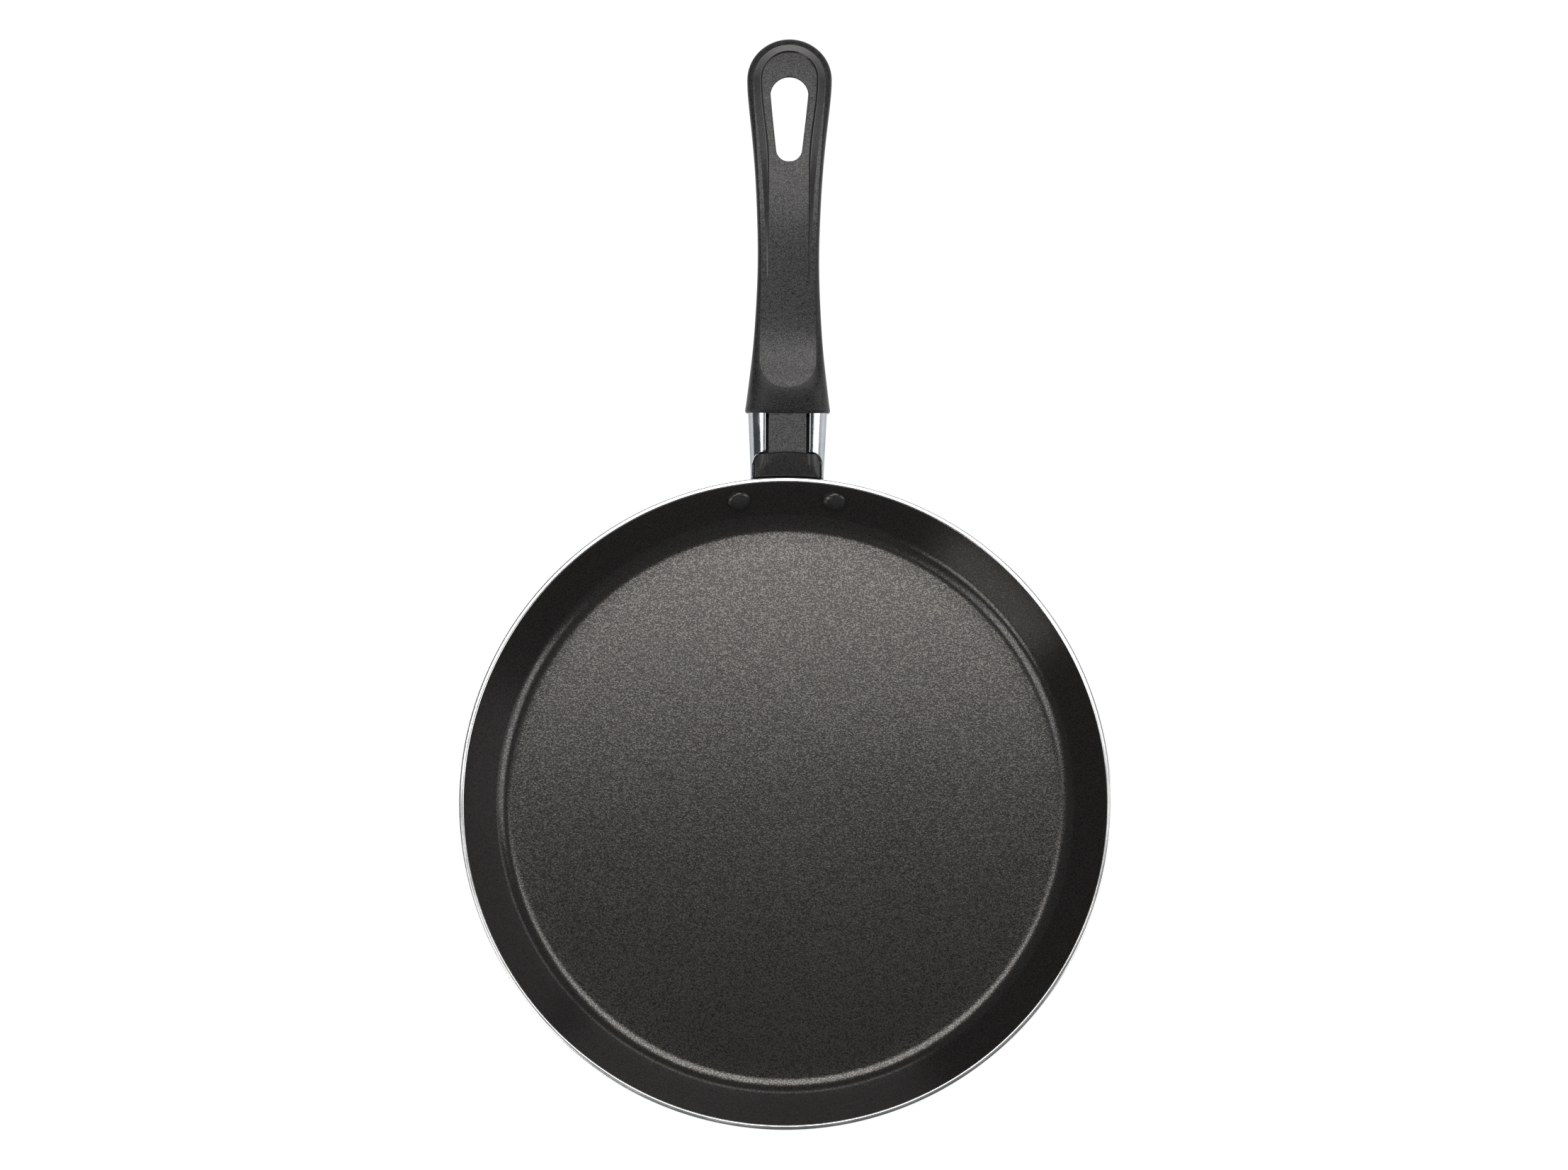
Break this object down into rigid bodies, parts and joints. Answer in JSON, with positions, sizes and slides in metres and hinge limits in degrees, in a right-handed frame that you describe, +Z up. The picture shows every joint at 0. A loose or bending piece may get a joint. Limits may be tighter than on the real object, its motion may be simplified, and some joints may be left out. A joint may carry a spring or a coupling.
{
  "type": "crepe pan",
  "caption": "Shallow round non-stick crepe pan with a sloping low wall, a bare polished rim and a riveted fixed handle with a bright ferrule and a hanging hole.",
  "frame": {"origin": "centre of the flat rest face under the pan", "axes": "+Z up out of the dish, +Y along the handle away from the dish, +X to the right with the handle pointing away"},
  "size_m": [0.28, 0.4681, 0.0516],
  "materials": {
    "coated_aluminium": "satin",
    "coated_rivet": "satin",
    "bracket_metal": "satin",
    "bright_ferrule": "polished",
    "grained_plastic": "matte",
    "smooth_plastic": "satin",
    "plated_steel": "satin"
  },
  "bodies": {
    "root": {"pan_body": "coated_aluminium", "rivet_left": "coated_rivet", "rivet_right": "coated_rivet", "handle_bracket": "bracket_metal", "ferrule": "bright_ferrule", "handle_core": "grained_plastic", "grip_sleeve": "smooth_plastic", "grip_rail": "smooth_plastic", "fixing_screw": "plated_steel", "screw_washer": "plated_steel"}
  },
  "joints": []
}
